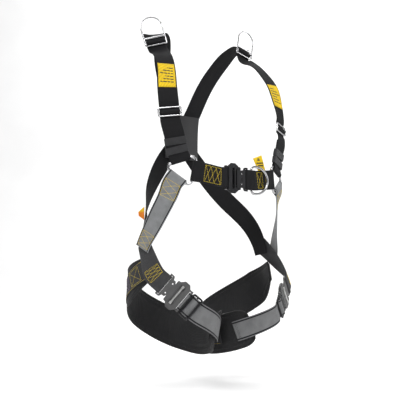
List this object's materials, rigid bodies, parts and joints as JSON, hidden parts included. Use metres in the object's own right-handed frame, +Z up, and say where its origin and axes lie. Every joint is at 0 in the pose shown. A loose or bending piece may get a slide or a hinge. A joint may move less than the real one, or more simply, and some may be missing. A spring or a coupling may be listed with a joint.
{
  "type": "full body safety harness",
  "caption": "Worn safety harness of webbing straps with a chest belt, padded leg loops, quick-release buckles, adjusters and attachment rings.",
  "frame": {"origin": "midway between the two shoulder straps, at the height where they cross the top of the shoulders", "axes": "+Z up, the wearer faces -Y, the wearer's left hand is on +X"},
  "size_m": [0.3974, 0.28, 0.8053],
  "materials": {
    "black_webbing": "matt woven",
    "grey_webbing": "matt woven",
    "charcoal_webbing": "matt woven",
    "mid_webbing": "matt woven",
    "padding": "matt padded",
    "elastic": "matt ribbed",
    "label": "satin printed",
    "orange_tag": "satin",
    "ring_steel": "polished",
    "back_plate": "matt",
    "black_metal": "satin black",
    "spring_steel": "drawn wire",
    "bright_steel": "bright",
    "gunmetal": "satin"
  },
  "bodies": {
    "webbing": {"belt_left": "black_webbing", "belt_right": "black_webbing", "chest_adjuster_L": "ring_steel", "chest_adjuster_R": "ring_steel", "chest_body": "black_metal", "chest_cover": "black_metal", "chest_latch_bar": "black_metal", "chest_rivets": "bright_steel", "chest_springs": "spring_steel", "dorsal_loop": "black_webbing", "dorsal_plate": "back_plate", "front_tag": "label", "hip_strap_L": "grey_webbing", "hip_strap_R": "grey_webbing", "hip_tag": "orange_tag", "label_L": "label", "label_R": "label", "leg_adjuster_L": "black_metal", "leg_adjuster_R": "black_metal", "leg_body_L": "gunmetal", "leg_body_R": "gunmetal", "leg_cover_L": "gunmetal", "leg_cover_R": "gunmetal", "leg_latch_bar_L": "bright_steel", "leg_latch_bar_R": "bright_steel", "leg_pad_L": "padding", "leg_pad_R": "padding", "leg_rivets_L": "bright_steel", "leg_rivets_R": "bright_steel", "leg_springs_L": "spring_steel", "leg_springs_R": "spring_steel", "leg_strap_L": "mid_webbing", "leg_strap_R": "mid_webbing", "pad_strap_L": "mid_webbing", "pad_strap_R": "mid_webbing", "shoulder_strap_L": "black_webbing", "shoulder_strap_R": "black_webbing", "side_ring_L": "ring_steel", "side_ring_R": "ring_steel", "thigh_strap_L": "charcoal_webbing", "thigh_strap_R": "charcoal_webbing"},
    "chest_tongue": {"chest_tongue": "black_metal"},
    "front_ring": {"front_ring": "ring_steel"},
    "dorsal_ring": {"dorsal_ring": "ring_steel"},
    "shoulder_ring_R": {"shoulder_ring_R": "ring_steel"},
    "shoulder_ring_L": {"shoulder_ring_L": "ring_steel"},
    "keepers_R": {"keeper_lower_R": "elastic", "keeper_upper_R": "elastic"},
    "keepers_L": {"keeper_lower_L": "elastic", "keeper_upper_L": "elastic"},
    "leg_tongue_R": {"leg_tongue_R": "gunmetal"},
    "leg_tongue_L": {"leg_tongue_L": "gunmetal"},
    "chest_tab_lower": {"chest_tab_lower": "black_metal"},
    "chest_tab_upper": {"chest_tab_upper": "black_metal"},
    "leg_tab_lower_L": {"leg_tab_lower_L": "gunmetal"},
    "leg_tab_lower_R": {"leg_tab_lower_R": "gunmetal"},
    "leg_tab_upper_L": {"leg_tab_upper_L": "gunmetal"},
    "leg_tab_upper_R": {"leg_tab_upper_R": "gunmetal"}
  },
  "joints": [
    {"name": "front_ring_swing", "type": "hinge", "parent": "chest_tongue", "child": "front_ring", "pos_m": [0.037, -0.13, -0.311], "axis": [0, 0, -1], "range_deg": [0, 140]},
    {"name": "dorsal_ring_swing", "type": "hinge", "parent": "webbing", "child": "dorsal_ring", "pos_m": [0, 0.1275, -0.172], "axis": [1, 0, 0], "range_deg": [0, 130]},
    {"name": "chest_tab_upper_press", "type": "slide", "parent": "webbing", "child": "chest_tab_upper", "axis": [0, 0, -1], "range_m": [0, 0.003], "deforming": ["chest_springs"]},
    {"name": "chest_tab_lower_press", "type": "slide", "parent": "webbing", "child": "chest_tab_lower", "axis": [0, 0, 1], "range_m": [0, 0.003], "deforming": ["chest_springs"]},
    {"name": "leg_tab_upper_R_press", "type": "slide", "parent": "webbing", "child": "leg_tab_upper_R", "axis": [0.5616, -0.3327, 0.7576], "range_m": [0, 0.003], "deforming": ["leg_springs_R"]},
    {"name": "leg_tab_lower_R_press", "type": "slide", "parent": "webbing", "child": "leg_tab_lower_R", "axis": [-0.5616, 0.3327, -0.7576], "range_m": [0, 0.003], "deforming": ["leg_springs_R"]},
    {"name": "leg_tab_upper_L_press", "type": "slide", "parent": "webbing", "child": "leg_tab_upper_L", "axis": [-0.5616, -0.3327, 0.7576], "range_m": [0, 0.003], "deforming": ["leg_springs_L"]},
    {"name": "leg_tab_lower_L_press", "type": "slide", "parent": "webbing", "child": "leg_tab_lower_L", "axis": [0.5616, 0.3327, -0.7576], "range_m": [0, 0.003], "deforming": ["leg_springs_L"]},
    {"name": "chest_tongue_release", "type": "slide", "parent": "webbing", "child": "chest_tongue", "axis": [1, 0, 0], "range_m": [0, 0.03], "deforming": ["belt_left"]},
    {"name": "leg_tongue_release_R", "type": "slide", "parent": "webbing", "child": "leg_tongue_R", "axis": [-0.6196, 0.4377, 0.6516], "range_m": [0, 0.03], "deforming": ["thigh_strap_R"]},
    {"name": "leg_tongue_release_L", "type": "slide", "parent": "webbing", "child": "leg_tongue_L", "axis": [0.6196, 0.4377, 0.6516], "range_m": [0, 0.03], "deforming": ["thigh_strap_L"]},
    {"name": "shoulder_ring_rock_R", "type": "hinge", "parent": "webbing", "child": "shoulder_ring_R", "pos_m": [-0.152, -0.018, 0.014], "axis": [-0.8832, 0.3791, -0.2761], "range_deg": [0, 5]},
    {"name": "shoulder_ring_rock_L", "type": "hinge", "parent": "webbing", "child": "shoulder_ring_L", "pos_m": [0.116, 0, 0.042], "axis": [0.9714, 0.1114, -0.2095], "range_deg": [0, 2.5]},
    {"name": "keepers_slide_R", "type": "slide", "parent": "webbing", "child": "keepers_R", "axis": [-0.2201, -0.0005, 0.9755], "range_m": [0, 0.006]},
    {"name": "keepers_slide_L", "type": "slide", "parent": "webbing", "child": "keepers_L", "axis": [0.2201, -0.0005, 0.9755], "range_m": [0, 0.006]}
  ]
}
